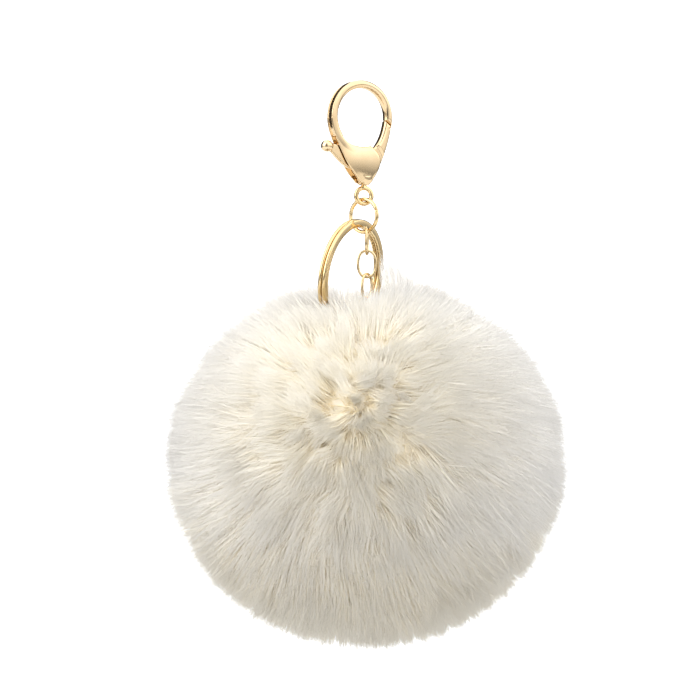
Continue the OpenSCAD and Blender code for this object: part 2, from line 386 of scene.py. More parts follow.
def rounded_section(width, height, corner, steps=5):
    """A rectangle with rounded corners, width along the first axis."""
    points = []
    for quarter in range(4):
        middle = math.radians(45 + 90 * quarter)
        centre = (
            math.copysign(width / 2 - corner, math.cos(middle)),
            math.copysign(height / 2 - corner, math.sin(middle)),
        )
        for turn in np.linspace(-45, 45, steps):
            a = middle + math.radians(turn)
            points.append((centre[0] + corner * math.cos(a), centre[1] + corner * math.sin(a)))
    outline = np.array(points)
    return lambda i: outline


def upright(x, z):
    """Points in the XZ plane."""
    return np.stack([x, np.zeros_like(x), z], 1)


def ring_path(radius, start, end, steps):
    """Stations round a ring standing in the XZ plane, with the outward direction at each."""
    whole = abs(end - start) >= 360
    turn = np.radians(np.linspace(start, end, steps, endpoint=not whole))
    outward = upright(np.cos(turn), np.sin(turn))
    return outward * radius, outward


def lathe(profile, steps=96):
    """Turns a closed profile of (radius, height) points about Z."""
    profile = np.asarray(profile, float)
    turn = np.linspace(0, 2 * math.pi, steps, endpoint=False)
    points = np.stack(
        [
            profile[None, :, 0] * np.cos(turn)[:, None],
            profile[None, :, 0] * np.sin(turn)[:, None],
            np.broadcast_to(profile[None, :, 1], (steps, len(profile))),
        ],
        2,
    )
    n = len(profile)
    faces = []
    for i in range(steps):
        a, b = i * n, (i + 1) % steps * n
        faces += [(a + k, b + k, b + (k + 1) % n, a + (k + 1) % n) for k in range(n)]
    return points.reshape(-1, 3), faces


# ------------------------------------------------------------------ shapes from distance fields


def smooth_min(a, b, k):
    h = np.clip(0.5 + 0.5 * (b - a) / k, 0, 1)
    return b * (1 - h) + a * h - k * h * (1 - h)


def smooth_max(a, b, k):
    return -smooth_min(-a, -b, k)


def smooth_step(value, low, high):
    t = np.clip((value - low) / (high - low), 0, 1)
    return t * t * (3 - 2 * t)


def curve(points, count=14):
    """Points on a cubic curve, its last one left out."""
    p = np.array(points, float)
    t = np.linspace(0, 1, count, endpoint=False)[:, None]
    s = 1 - t
    return s**3 * p[0] + 3 * s * s * t * p[1] + 3 * s * t * t * p[2] + t**3 * p[3]


def arc(centre, radius, start, end, count=30):
    turn = np.radians(np.linspace(start, end, count))
    return np.array(centre) + radius * np.stack([np.cos(turn), np.sin(turn)], 1)


def polygon_distance(x, z, outline):
    """Distance to a closed outline, negative inside."""
    nearest = np.full(x.shape, 1e9)
    inside = np.zeros(x.shape, bool)
    for a, b in zip(outline, np.roll(outline, -1, 0)):
        ex, ez = b - a
        wx, wz = x - a[0], z - a[1]
        t = np.clip((wx * ex + wz * ez) / max(ex * ex + ez * ez, 1e-12), 0, 1)
        nearest = np.minimum(nearest, (wx - ex * t) ** 2 + (wz - ez * t) ** 2)
        crosses = (a[1] <= z) != (b[1] <= z)
        if abs(ez) > 1e-12:
            inside ^= crosses & (x < a[0] + ex * (z - a[1]) / ez)
    return np.where(inside, -1, 1) * np.sqrt(nearest)


def field_mesh(field, low, high, step):
    """Points and faces of the surface where field is zero, inside the box low..high."""
    count = [int(math.ceil((b - a) / step)) + 1 for a, b in zip(low, high)]
    axes = [a + step * np.arange(n) for a, n in zip(low, count)]
    value = field(*np.meshgrid(*axes, indexing="ij"))
    inside = value < 0
    corners = [(i, j, k) for i in (0, 1) for j in (0, 1) for k in (0, 1)]
    cells = [n - 1 for n in count]
    total = sum(
        inside[i : i + cells[0], j : j + cells[1], k : k + cells[2]].astype(np.int8)
        for i, j, k in corners
    )
    active = np.argwhere((total > 0) & (total < 8))
    number = np.full(cells, -1, int)
    number[tuple(active.T)] = np.arange(len(active))
    place, hits = np.zeros((len(active), 3)), np.zeros(len(active))
    for a in corners:
        for axis in range(3):
            if a[axis]:
                continue
            b = tuple(c + (n == axis) for n, c in enumerate(a))
            va = value[tuple((active + a).T)]
            vb = value[tuple((active + b).T)]
            crossing = (va < 0) != (vb < 0)
            share = np.where(crossing, va / np.where(crossing, va - vb, 1), 0)
            spot = np.array(a) + share[:, None] * (np.array(b) - np.array(a))
            place += spot * crossing[:, None]
            hits += crossing
    points = np.array(low) + step * (active + place / hits[:, None])
    faces = []
    for axis in range(3):
        u, v = (axis + 1) % 3, (axis + 2) % 3
        end = [n - 1 if k == axis else n for k, n in enumerate(count)]
        near = inside[tuple(slice(0, n) for n in end)]
        far = inside[tuple(slice(int(k == axis), n + int(k == axis)) for k, n in enumerate(end))]
        edges = np.argwhere(near != far)
        for side in (u, v):
            edges = edges[(edges[:, side] > 0) & (edges[:, side] < count[side] - 1)]
        outward = near[tuple(edges.T)]
        quad = []
        for du, dv in ((1, 1), (0, 1), (0, 0), (1, 0)):
            cell = edges.copy()
            cell[:, u] -= du
            cell[:, v] -= dv
            quad.append(number[tuple(cell.T)])
        quad = np.stack(quad, 1)
        faces.append(np.where(outward[:, None], quad, quad[:, ::-1]))
    for _ in range(2):
        points = settle(field, points, step)
    return points, np.concatenate(faces)


def settle(field, points, step):
    """Moves points on to the field's zero surface."""
    small = step * 0.05
    value = field(*points.T)
    slope = np.stack(
        [field(*(points + small * np.eye(3)[k]).T) - value for k in range(3)], 1
    ) / small
    length = np.maximum((slope * slope).sum(1), 0.25)
    shift = np.clip(value / length, -step / 2, step / 2)
    return points - slope * shift[:, None]


# ------------------------------------------------------------------ clasp

GATE_AXIS = JOINTS["gate_hinge"]["axis"]
CLASP_YAW = math.degrees(math.atan2(GATE_AXIS[0], -GATE_AXIS[1]))
CLASP_BOX = ((-10.3, -2.6, -25.6), (10.4, 2.6, 2.7))
CLASP_STEP = 0.13
OPENING_R = 7.55
HOOK_R = 8.65
HOOK_HALF_WIDTH = 1.1
HOOK_HALF_DEPTH = 1.36
HOOK_CROWN = 0.1
HOOK_Z = -OPENING_R
HOOK_FROM, HOOK_TO = -16, 215
MM_PER_DEGREE = 0.15
PIVOT = np.array([0.9, joint_point("gate_hinge")[2]])
SLOT_HALF = 0.85
SLOT_TOP = -12.6
SLOT_FLARE = 0.3
FOOT_TOP = -23.4
FOOT_X = 1.1
FOOT_R = 1.5
FOOT_BOTTOM = -25.15
FOOT_TAPER = 0.2
BULGE_CENTRE = (0.8, -18.6)
BULGE_HALF = 2.15
BULGE_R = 22.0
EDGE_R, SHARP_EDGE_R = 1.25, 0.3
PIN_R = 0.8
PIN_ENDS = (-1.75, 2.05)
GATE_CUT_R = 13.05
LIP_DEPTH = 0.55
LIP_ANGLE = 50.5
GATE_GAP = 0.12
CHANNEL_DEPTH = 0.2
CHANNEL_FROM, CHANNEL_FULL = 95, 150
# Radius, bottom and top of the bored holes in the foot, for the stud's head and for the stud
HEAD_SOCKET = (1.15, -24.2, -22.8)
STUD_BORE = (0.7, -26.5, -23.0)

CHEEK_OUTLINE = np.concatenate(
    [
        curve([(-9.72, -7.9), (-9.6, -12.2), (-6.4, -18.8), (-0.75, -24.6)]),
        curve([(-0.75, -24.6), (0.5, -24.7), (1.7, -24.7), (2.95, -24.6)], 4),
        curve([(2.95, -24.6), (4.3, -22.7), (6.1, -20.3), (5.75, -18.3)]),
        curve([(5.75, -18.3), (5.5, -16.9), (4.3, -15.8), (2.4, -14.71)]),
        arc((0, HOOK_Z), OPENING_R, -71.5, -172),
    ]
)
LEVER_OUTLINE = np.concatenate(
    [
        curve([(2.2, -16.6), (4.6, -15.6), (7.0, -12.6), (7.62, -7.0)]),
        curve([(9.75, -7.2), (9.3, -11.5), (8.2, -14.5), (6.5, -18.7)]),
        curve([(6.5, -18.7), (5.9, -20.2), (4.6, -21.0), (2.0, -21.2)]),
        curve([(-0.4, -21.5), (-4.6, -21.3), (-7.1, -19.3), (-9.6, -15.95)]),
        curve([(-9.4, -14.5), (-7.2, -14.6), (-3.4, -15.2), (-0.4, -16.6)]),
    ]
)


def gate_limit(x, z, gap):
    """Negative where the gate's end sweeps, with its lip; gap narrows it."""
    dx, dz = x - PIVOT[0], z - PIVOT[1]
    reach = np.hypot(dx, dz)
    below_lip = np.degrees(np.arctan2(dz, dx)) < LIP_ANGLE + 3 * gap
    return reach - (GATE_CUT_R - gap - np.where(below_lip, LIP_DEPTH, 0.0))


def upright_cylinder(x, y, z, radius, low, high):
    return np.maximum(np.hypot(x - FOOT_X, y) - radius, np.maximum(low - z, z - high))


def clasp_field(x, y, z):
    """The cast body: hook, two bulged cheeks with the lever's slot between them, and the foot."""
    rho = np.hypot(x, z - HOOK_Z)
    angle = np.degrees(np.arctan2(z - HOOK_Z, x))
    round_left = np.where(angle < -90, angle + 360, angle)
    u = rho - HOOK_R
    ring = np.abs(u) - HOOK_HALF_WIDTH
    for past_end in (HOOK_FROM - round_left, round_left - HOOK_TO):
        ring = np.maximum(ring, past_end * MM_PER_DEGREE)
    ring = np.maximum(ring, -np.maximum(gate_limit(x, z, 0.0), np.maximum(4 - x, z + 5)))
    cheek = polygon_distance(x, z, CHEEK_OUTLINE)
    flat = smooth_min(ring, cheek, 0.35)
    away = np.minimum(np.hypot(x - BULGE_CENTRE[0], z - BULGE_CENTRE[1]), BULGE_R * 0.95)
    bulge = BULGE_HALF - (BULGE_R - np.sqrt(BULGE_R**2 - away**2))
    domed = HOOK_HALF_DEPTH - HOOK_CROWN * np.clip(u / HOOK_HALF_WIDTH, -1, 1) ** 2
    half = smooth_max(bulge, domed, 0.5)
    sharp = smooth_step(round_left, 100, 140) * smooth_step(u, -0.4, 0.6)
    edge = EDGE_R - (EDGE_R - SHARP_EDGE_R) * sharp
    solid = smooth_max(flat, np.abs(y) - half, edge)
    narrow = FOOT_R - FOOT_TAPER * smooth_step(-z, -FOOT_TOP, -FOOT_BOTTOM)
    foot = upright_cylinder(x, y, z, narrow, FOOT_BOTTOM, FOOT_TOP)
    solid = smooth_min(solid, smooth_max(foot, FOOT_BOTTOM - z, 0.4), 0.9)
    depth = CHANNEL_DEPTH * smooth_step(round_left, CHANNEL_FROM, CHANNEL_FULL)
    channel = np.maximum(np.abs(y) - SLOT_HALF, HOOK_HALF_WIDTH - depth - u)
    channel = np.maximum(channel, CHANNEL_FROM - round_left)
    solid = smooth_max(solid, -channel, 0.08)
    flare = SLOT_HALF + SLOT_FLARE * smooth_step(cheek, -1.5, -0.1)
    slot = np.maximum(np.abs(y) - flare, np.maximum(z - SLOT_TOP, FOOT_TOP - z))
    solid = smooth_max(solid, -slot, 0.12)
    pin = np.maximum(np.hypot(x - PIVOT[0], z - PIVOT[1]) - PIN_R, PIN_ENDS[0] - y)
    solid = np.maximum(solid, -pin)
    holes = [upright_cylinder(x, y, z, *hole) for hole in (HEAD_SOCKET, STUD_BORE)]
    return np.maximum(solid, -np.minimum(*holes))


LEVER_BOX = ((-12.6, -2.0, -22.2), (10.4, 2.0, -6.0))
LEVER_STEP = 0.12
KNOB = (-10.6, -15.2)
KNOB_R = 1.55
NECK_END = (-7.4, -17.2)
NECK_R = 0.8
NECK_GROWS = 0.2
HUB_R = 2.3
LEVER_HALF = 0.75
GATE_HALF = 1.22
# How far the cheeks' slot reaches from the pivot, towards the gate and towards the knob
SLOT_REACH = (5.7, 10.9)
BOSS_R = 1.2
SPRING_ROOM_R = 2.0
SPRING_ROOM_FRONT = -0.05
LEG_ROOM_R = 3.4
LEG_ROOM_ANGLES = (-86, -18)


def lever_field(x, y, z):
    """Gate, hub, arm and thumb knob."""
    dx, dz = x - PIVOT[0], z - PIVOT[1]
    reach = np.hypot(dx, dz)
    flat = np.minimum(polygon_distance(x, z, LEVER_OUTLINE), reach - HUB_R)
    flat = np.maximum(flat, np.where(x > 4, gate_limit(x, z, GATE_GAP), -1.0))
    gate = smooth_step(reach, SLOT_REACH[0], SLOT_REACH[0] + 0.8) * smooth_step(dx, 0.0, 2.0)
    half = LEVER_HALF + (GATE_HALF - LEVER_HALF) * gate
    plate = smooth_max(flat, np.abs(y) - half, 0.45 + 0.55 * gate)
    along = np.clip((x - KNOB[0]) / (NECK_END[0] - KNOB[0]), 0, 1)
    line_z = KNOB[1] + along * (NECK_END[1] - KNOB[1])
    line_x = KNOB[0] + along * (NECK_END[0] - KNOB[0])
    neck = np.sqrt((x - line_x) ** 2 + y**2 + (z - line_z) ** 2) - NECK_R - NECK_GROWS * along
    knob = np.sqrt((x - KNOB[0]) ** 2 + y**2 + (z - KNOB[1]) ** 2) - KNOB_R
    thumb = smooth_min(knob, neck, 0.7)
    solid = smooth_min(plate, thumb, 0.4)
    beside_slot = np.where(dx > 0, SLOT_REACH[0] - reach, SLOT_REACH[1] - reach)
    solid = np.maximum(solid, np.minimum(np.abs(y) - LEVER_HALF, beside_slot))
    turn = np.degrees(np.arctan2(dz, dx))
    in_legs = (turn < LEG_ROOM_ANGLES[1]) & (turn > LEG_ROOM_ANGLES[0])
    legs = np.where(in_legs, reach - LEG_ROOM_R, 1.0)
    arm_leg = np.maximum(np.abs(dz - 1.66) - 0.35, np.maximum(dx, -4.4 - dx))
    room = np.minimum(np.minimum(reach - SPRING_ROOM_R, legs), arm_leg)
    room = np.maximum(np.maximum(room, BOSS_R - reach), SPRING_ROOM_FRONT - y)
    solid = np.maximum(solid, -room)
    return np.maximum(solid, PIN_R + 0.05 - reach)


def add_clasp():
    for name, node, field, box, step in (
        ("clasp_casting", "clasp_body", clasp_field, CLASP_BOX, CLASP_STEP),
        ("clasp_gate", "clasp_lever", lever_field, LEVER_BOX, LEVER_STEP),
    ):
        add_piece(name, node, "clasp_gold", field_mesh(field, *box, step), ORIGIN, CLASP_YAW)
    add_pin()
    add_spring()


def add_pin():
    """The pin, with a slightly crowned and bevelled head at the back."""
    front, back = PIN_ENDS
    profile = [(0, front), (PIN_R - 0.12, front), (PIN_R, front + 0.12), (PIN_R, back - 0.14)]
    profile += [(PIN_R - 0.14, back - 0.02), (PIN_R * 0.4, back), (0, back)]
    points, faces = lathe(profile, 48)
    along_y = np.stack([points[:, 0], points[:, 2], -points[:, 1]], 1)
    local = along_y + np.array([PIVOT[0], 0, PIVOT[1]])
    add_piece("lever_pin_turned", "lever_pin", "clasp_gold", (local, faces), ORIGIN, CLASP_YAW)


SPRING_R = 1.66
SPRING_WIRE_R = 0.13
SPRING_LEVELS = (0.22, 0.56)
SPRING_LEG = 3.6
LEG_STEPS = 12


def add_spring():
    """A torsion spring of one and a quarter turns, one leg for the lever and one for the body."""
    turn = np.radians(np.linspace(90, -360, 120))
    level = np.linspace(*SPRING_LEVELS, len(turn))
    coil = np.stack([SPRING_R * np.cos(turn), level, SPRING_R * np.sin(turn)], 1)
    leg, radius = np.linspace(SPRING_LEG, 0.2, LEG_STEPS), np.full(LEG_STEPS, SPRING_R)
    first = np.stack([-leg, np.full(LEG_STEPS, level[0]), radius], 1)
    last = np.stack([radius, np.full(LEG_STEPS, level[-1]), -leg[::-1]], 1)
    path = np.concatenate([first, coil, last]) + np.array([PIVOT[0], 0, PIVOT[1]])
    points, faces = sweep(path, ALONG_Y, circle_section(SPRING_WIRE_R, 12))
    world = placed(points, ORIGIN, CLASP_YAW)
    piece = add_mesh("lever_spring_wire", "lever_spring", "spring_steel", world, faces)
    ends = placed([(PIVOT[0], y, PIVOT[1]) for y in SPRING_LEVELS], ORIGIN, CLASP_YAW)
    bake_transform(piece)


# ------------------------------------------------------------------ eye, rings and chain

EYE_R = 2.05
EYE_WIRE_R = 0.6
EYE_YAW = 15
EYE_STEP = 0.09
STUD_R = 0.62
HEAD_R = 1.05
HEAD_BOTTOM = -24.1
HEAD_HEIGHT = 0.75
JUMP_R = 4.3
JUMP_WIRE_R = 0.5
JUMP_YAW = -38
JUMP_SLIT = (21.2, 380.0)
SPLIT_R = 13.9
SPLIT_RADIAL = 2.2
SPLIT_COIL = 1.03
SPLIT_PITCH = 1.12
SPLIT_CORNER = 0.43
SPLIT_YAW = 60
SPLIT_LEAN = 10
SPLIT_STEP = 22
SPLIT_JOINT = -100
LINK_R = 2.325
LINK_STRAIGHT = 2.2
LINK_WIRE_R = 0.375
LINK_SQUARE = 0.86
LINK_STEPS = 96
LINK_SEAM = 92
LINK_YAWS = {
    "chain_link_1": 85,
    "chain_link_2": 5,
    "chain_link_3": 58,
    "chain_link_4": -25,
    "chain_link_5": 65,
}
ANCHOR_YAW = -25
ANCHOR_R = 2.1
ANCHOR_WIRE_R = 0.4


def eye_field(x, y, z):
    """Ring, stud and turned-over head; z is measured from the ring's centre."""
    ring = np.hypot(np.hypot(x, z) - EYE_R, y) - EYE_WIRE_R
    eye_z = joint_point("eye_swivel")[2]
    head_low, head_high = HEAD_BOTTOM - eye_z, HEAD_BOTTOM + HEAD_HEIGHT - eye_z
    radial = np.hypot(x, y)
    stud = np.maximum(radial - STUD_R, np.maximum(EYE_R - z, z - head_high))
    head = smooth_max(radial - HEAD_R, np.maximum(head_low - z, z - head_high), 0.25)
    return np.minimum(smooth_min(ring, stud, 0.35), head)


def add_eye():
    height = HEAD_BOTTOM + HEAD_HEIGHT - joint_point("eye_swivel")[2]
    shape = field_mesh(eye_field, (-3.0, -1.4, -3.0), (3.0, 1.4, height + 0.4), EYE_STEP)
    centre = joint_point("eye_swivel")
    add_piece("swivel_eye_ring", "swivel_eye", "ring_gold", shape, centre, EYE_YAW)


def add_ring(name, node, slot_name, radius, wire_r, yaw, span=(0, 360), steps=128):
    """A round wire ring. One with a slit has ends that are slightly rounded off."""
    path, outward = ring_path(radius, *span, steps)
    closed = abs(span[1] - span[0]) >= 360

    def thickness(i):
        end = min(i, steps - 1 - i) / 2
        return wire_r * (1.0 if closed else min(1.0, 0.86 + 0.14 * end))

    shape = sweep(path, outward, circle_section(thickness, 24), closed)
    add_piece(name, node, slot_name, shape, yaw=yaw)


def add_split_ring():
    """One flat wire wound twice round, which steps from the front coil to the back coil."""
    turn = np.linspace(SPLIT_STEP, 720 - SPLIT_STEP, 400)
    layer = SPLIT_COIL / 2 * (2 * smooth_step(turn, 360 - SPLIT_STEP, 360 + SPLIT_STEP) - 1)
    angle = np.radians(turn + SPLIT_JOINT)
    outward = upright(np.cos(angle), np.sin(angle))
    path = outward * SPLIT_R + np.stack([0 * layer, layer * SPLIT_PITCH, 0 * layer], 1)
    outline = rounded_section(SPLIT_RADIAL, SPLIT_COIL, SPLIT_CORNER)(0)
    crown = np.abs(outline[:, 1]) / (SPLIT_COIL / 2)
    outline = outline * np.stack([1 - 0.035 * crown**2, np.ones(len(outline))], 1)

    def section(i):
        end = min(i, len(turn) - 1 - i)
        return outline * (0.9 + 0.1 * min(1.0, end / 2))

    attitude = dict(yaw=SPLIT_YAW, lean=SPLIT_LEAN)
    shape = sweep(path, outward, section)
    add_piece("split_ring_coils", "split_ring", "split_ring_gold", shape, **attitude)


def add_link(node, yaw):
    """An oval link with the seam where its wire was closed."""
    turn = np.linspace(0, 2 * math.pi, LINK_STEPS, endpoint=False)
    c, s = (np.sign(v) * np.abs(v) ** LINK_SQUARE for v in (np.cos(turn), np.sin(turn)))
    path = upright(c * LINK_R, s * (LINK_R + LINK_STRAIGHT / 2))

    def thickness(i):
        return LINK_WIRE_R * (0.88 if i == LINK_SEAM else 1.0)

    shape = sweep(path, ALONG_Y, circle_section(thickness, 18), closed=True)
    add_piece(node + "_wire", node, "chain_gold", shape, yaw=yaw)


# ------------------------------------------------------------------ inside the ball

POM = np.array([*box_centre("fur_pile")[:2], box_centre("fur_backing")[2]])
BACKING_R = 24.5
BACKING_WALL = 0.7
HOLE_R = 2.2
GATHER_R = 3.2
GATHER_WIRE_R = 0.35
WASHER_R = 7.0
WASHER_T = 0.8
WASHER_HOLE_R = 1.9
THREAD_R = 0.45
KNOT_R = 2.3
FILLING_STEP = 0.8


def add_anchor_thread():
    """Stitches over the anchor ring, down through the washer, and the knot under it."""
    lo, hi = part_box("anchor_thread")
    loop_r = ANCHOR_WIRE_R + THREAD_R + 0.1
    top = hi[2] / MM - loop_r - THREAD_R
    knot_z = lo[2] / MM + KNOT_R
    turn = np.linspace(0, math.pi, 24)
    over = upright(loop_r * np.cos(turn), top + loop_r * np.sin(turn))
    down = np.linspace(top, knot_z, 24)[1:]
    right, left = (
        np.stack([np.full(len(down), side * loop_r), 0.08 * np.sin(down), down], 1)
        for side in (1, -1)
    )
    path = np.concatenate([right[::-1], over, left])
    points, faces = sweep(path, ALONG_Y, circle_section(THREAD_R, 12))
    s = np.linspace(0, 2 * math.pi, 160, endpoint=False)
    tight = (KNOT_R - THREAD_R) / 3
    knot = tight * np.stack(
        [np.sin(s) + 2 * np.sin(2 * s), np.cos(s) - 2 * np.cos(2 * s), -np.sin(3 * s)], 1
    )
    radial = unit(knot + np.array([0.0, 0.0, 1e-3]))
    knot_points, knot_faces = sweep(knot, radial, circle_section(THREAD_R * 1.3, 12), closed=True)
    faces += [tuple(k + len(points) for k in f) for f in knot_faces]
    local = np.concatenate([points, knot_points + np.array([0, 0, knot_z])])
    axis, yaw = (POM[0], POM[1], 0), ANCHOR_YAW + 90
    add_piece("anchor_stitches", "anchor_thread", "sewing_thread", (local, faces), axis, yaw)


def add_gathering_thread():
    """A running stitch: the thread rises and dips as it passes through the cloth's pleats."""
    turn = np.linspace(0, 2 * math.pi, 240, endpoint=False)
    radius = GATHER_R + 0.18 * np.cos(12 * turn)
    path = np.stack([radius * np.cos(turn), radius * np.sin(turn), 0.16 * np.sin(12 * turn)], 1)
    shape = sweep(path, ALONG_Z, circle_section(GATHER_WIRE_R * 0.9, 12), closed=True)
    add_piece("gathering_stitches", "gathering_thread", "sewing_thread", shape)


def add_washer():
    bevel = 0.15
    inner, outer, top = WASHER_HOLE_R, WASHER_R, WASHER_T / 2
    profile = [(inner + bevel, -top), (outer - bevel, -top), (outer, -top + bevel)]
    profile += [(outer, top - bevel), (outer - bevel, top), (inner + bevel, top)]
    profile += [(inner, top - bevel), (inner, -top + bevel)]
    add_piece("washer_disc", "anchor_washer", "washer_steel", lathe(profile))

def add_backing():
    """The knitted shell, pleated where the gathering thread draws it in."""
    hole = math.asin(HOLE_R / BACKING_R)
    turn = np.linspace(hole, math.pi, 90)
    outer = [(BACKING_R * math.sin(a), BACKING_R * math.cos(a)) for a in turn]
    inner_r = BACKING_R - BACKING_WALL
    inner = [(inner_r * math.sin(a), inner_r * math.cos(a)) for a in turn[::-1]]
    points, faces = lathe(outer[:-1] + [(0.02, -BACKING_R), (0.02, -inner_r)] + inner[1:], 144)
    polar = np.arccos(np.clip(points[:, 2] / np.linalg.norm(points, axis=1), -1, 1))
    spin = np.arctan2(points[:, 1], points[:, 0])
    pleat = 0.12 * np.cos(24 * spin) * np.exp(-polar / 0.25) * smooth_step(polar, 0.0, 0.12)
    shape = points * (1 + pleat / BACKING_R)[:, None], faces
    add_piece("knitted_shell", "fur_backing", "knit_backing", shape, POM)


def filling_field(x, y, z):
    """The ball of fibre, with the room that the washer and the knot press into it."""
    r = np.sqrt(x * x + y * y + z * z)
    lumps = 0.22 * np.sin(x * 0.9) * np.sin(y * 1.1 + 1) * np.sin(z * 0.8 + 2)
    ball = r - (BACKING_R - BACKING_WALL - 0.45) + lumps
    radial = np.hypot(x, y)
    washer_z = box_centre("anchor_washer")[2] - POM[2]
    seat = np.maximum(radial - WASHER_R - 0.4, washer_z - WASHER_T / 2 - 0.3 - z)
    knot_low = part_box("anchor_thread")[0][2] / MM - POM[2] - 0.3
    well = np.maximum(radial - KNOT_R - 0.3, knot_low - z)
    return smooth_max(smooth_max(ball, -seat, 0.5), -well, 0.5)


def add_filling():
    reach = BACKING_R + 0.5
    shape = field_mesh(filling_field, (-reach,) * 3, (reach,) * 3, FILLING_STEP)
    piece = add_piece("fibre_ball", "fibre_filling", "polyester_fibre", shape, POM)


# ------------------------------------------------------------------ fur

STRANDS = 104000
FLYAWAYS = 13000
WOOL = 14000
WISPS = 900
SMALL_LOCKS = 6500
LARGE_LOCKS = 520
FUR_REGIONS = 15
SEGMENTS = 3
STRAND_RADII = (0.085, 0.15, 0.12, 0.0)
ROOT_R = BACKING_R + 0.05
THROAT_ANGLE = 13.0

FUR_R = 51.6
FUR_OFF_CENTRE = np.array([-0.3, 0.0, -0.6])
FUR_WIDER = 1.9
FLATTER_TOP = 1.0
# Each hollow's place on the top of the ball, width and depth: at the split ring and at the chain
HOLLOWS = [(-11.0, -14.5, 8.0, 9.5), (-1.0, -6.0, 7.5, 5.5)]

WHORL = unit(np.array([-4.4, -44.9, 16.5]))
WHORL_STRANDS = 30000
WHORL_SPREAD = 0.24
# Degrees that the strands lean away from the whorl, the share of it kept there, and the angle
# over which it grows. Then it is lost in part between two angles, and on top of the ball
LEAN = 34.0
LEAN_LEAST = 0.38
LEAN_GROWS = 27.0
LEAN_LOST_BEHIND = 0.75
LEAN_LOST_BETWEEN = (45, 100)
LEAN_LOST_ON_TOP = 0.8
# How unlike each other the large locks, the small locks and the strands in a lock are
LARGE_LEAN, LARGE_TWIST = 0.10, 0.16
SMALL_LEAN, SMALL_TWIST = 0.10, 0.13
STRAND_LEAN, STRAND_TWIST = 0.07, 0.09
SWIRL = 0.35
WHORL_WIDTH = 19
WHORL_TWIST, WHORL_LEAN = 1.7, 0.4
# Lengths as a share of the fur's depth: a lock's shortening, and mean and spread for strands
SMALL_LENGTH = 0.024
STRAND_LENGTH = (-0.012, 0.022)
STRAY_LENGTH = (1.028, 0.02)
# How far a strand's tip is drawn to its lock's, and what the ball's side and its underside add
GATHER, GATHER_SIDE, GATHER_LOW = 0.14, 0.3, 0.2
GATHER_STRAY = 0.05
GATHER_SPREAD = (0.7, 1.15)
# Tint from 0, plain, to 1, the whorl's yellow; the ball's underside is tinted the same way as
# painted shade
WHORL_TINT, WHORL_TINT_WIDTH = 0.75, 26
UNDERSIDE_SHADE_TINT = 0.6
TINT_SPREAD = 0.2
WOOL_TINT, WOOL_WHORL_TINT, WOOL_TINT_WIDTH = 0.3, 0.6, 30
WISP_TINT = 0.05
# Thickness, as a share of STRAND_RADII
WIDTH_SPREAD = (0.75, 1.2)
STRAY_WIDTH, WISP_WIDTH, WOOL_WIDTH = 0.5, 0.55, 0.9
WISP_BEARINGS = (-0.9, 0.9)
WISP_ROOT_ANGLES = (14, 18)
WISP_X, WISP_Y = (2.8, 12.0), (-2.0, 4.0)
WISP_RISE, WISP_PEAK_X, WISP_PEAK_WIDTH = 7.0, 5.0, 4.0
WISP_DEPTH = 3.5
WISP_BULGE = 2.0
WOOL_TILT = 0.09
WOOL_TIP_DEPTH = (3.6, 6.5)


def spread_directions(count, rng, jitter):
    """Unit vectors spread evenly over a sphere, then shaken a little."""
    k = np.arange(count) + 0.5
    z = 1 - 2 * k / count
    turn = k * math.pi * (3 - math.sqrt(5))
    flat = np.sqrt(1 - z * z)
    even = np.stack([flat * np.cos(turn), flat * np.sin(turn), z], 1)
    return unit(even + rng.normal(0, jitter / math.sqrt(count), even.shape))


def swirl_noise(d, seed):
    """A slow, repeatable wobble over the sphere, about -1 to 1."""
    rng = np.random.default_rng(seed)
    total = np.zeros(len(d))
    for frequency in (2.5, 4.5, 8.0):
        for _ in range(3):
            axis = unit(rng.normal(size=3))
            total += np.sin(frequency * (d @ axis) * 2 + rng.uniform(0, 6.28)) / frequency
    return total


def near_spot(d, spot, width):
    """1 at a spot (x, y) on the top of the ball, fading to 0 over width millimetres."""
    x, y = d[:, 0] * FUR_R - spot[0], d[:, 1] * FUR_R - spot[1]
    return np.exp(-(x**2 + y**2) / width**2) * (d[:, 2] > 0)


def fur_radius(d):
    """Distance from the ball's centre to the fur's surface in direction d."""
    shape = FUR_R + FUR_WIDER * (1 - 2 * d[:, 2] ** 2) + d @ FUR_OFF_CENTRE
    shape -= FLATTER_TOP * smooth_step(d[:, 2], 0.85, 1.0)
    for x, y, width, depth in HOLLOWS:
        shape -= smooth_step(d[:, 2], 0.3, 0.8) * depth * near_spot(d, (x, y), width)
    return shape


def whorl_angle(d):
    """Degrees between directions and the whorl."""
    return np.degrees(np.arccos(np.clip(d @ WHORL, -1, 1)))


def bell(value, width):
    return np.exp(-((value / width) ** 2))


def on_sphere(polar, spin):
    """Unit vectors at an angle from the top and a bearing, both in radians."""
    sine = np.sin(polar)
    return np.stack([sine * np.cos(spin), sine * np.sin(spin), np.cos(polar)], -1)


ALONG = np.linspace(0, 1, SEGMENTS + 1)


def strand_paths(d, lean, twist, length):
    """Points along strands that grow out of the backing at d and are combed away from the whorl."""
    away = unit(d * (d @ WHORL)[:, None] - WHORL)
    sideways = np.cross(d, away)
    flow = away * np.cos(twist)[:, None] + sideways * np.sin(twist)[:, None]
    from_whorl = whorl_angle(d)
    amount = 1 - (1 - LEAN_LEAST) * bell(from_whorl, LEAN_GROWS)
    amount *= 1 - LEAN_LOST_BEHIND * smooth_step(from_whorl, *LEAN_LOST_BETWEEN)
    amount *= 1 - LEAN_LOST_ON_TOP * smooth_step(d[:, 2], 0.8, 0.95)
    bend = np.radians(LEAN) * amount * lean
    tip = d * np.cos(bend)[:, None] + flow * np.sin(bend)[:, None]
    reach = fur_radius(tip) * length
    paths = []
    for s in ALONG:
        a = bend * s**1.8
        e = d * np.cos(a)[:, None] + flow * np.sin(a)[:, None]
        r = ROOT_R + (reach - ROOT_R) * s**0.85
        paths.append(e * r[:, None])
    return np.stack(paths, 1)


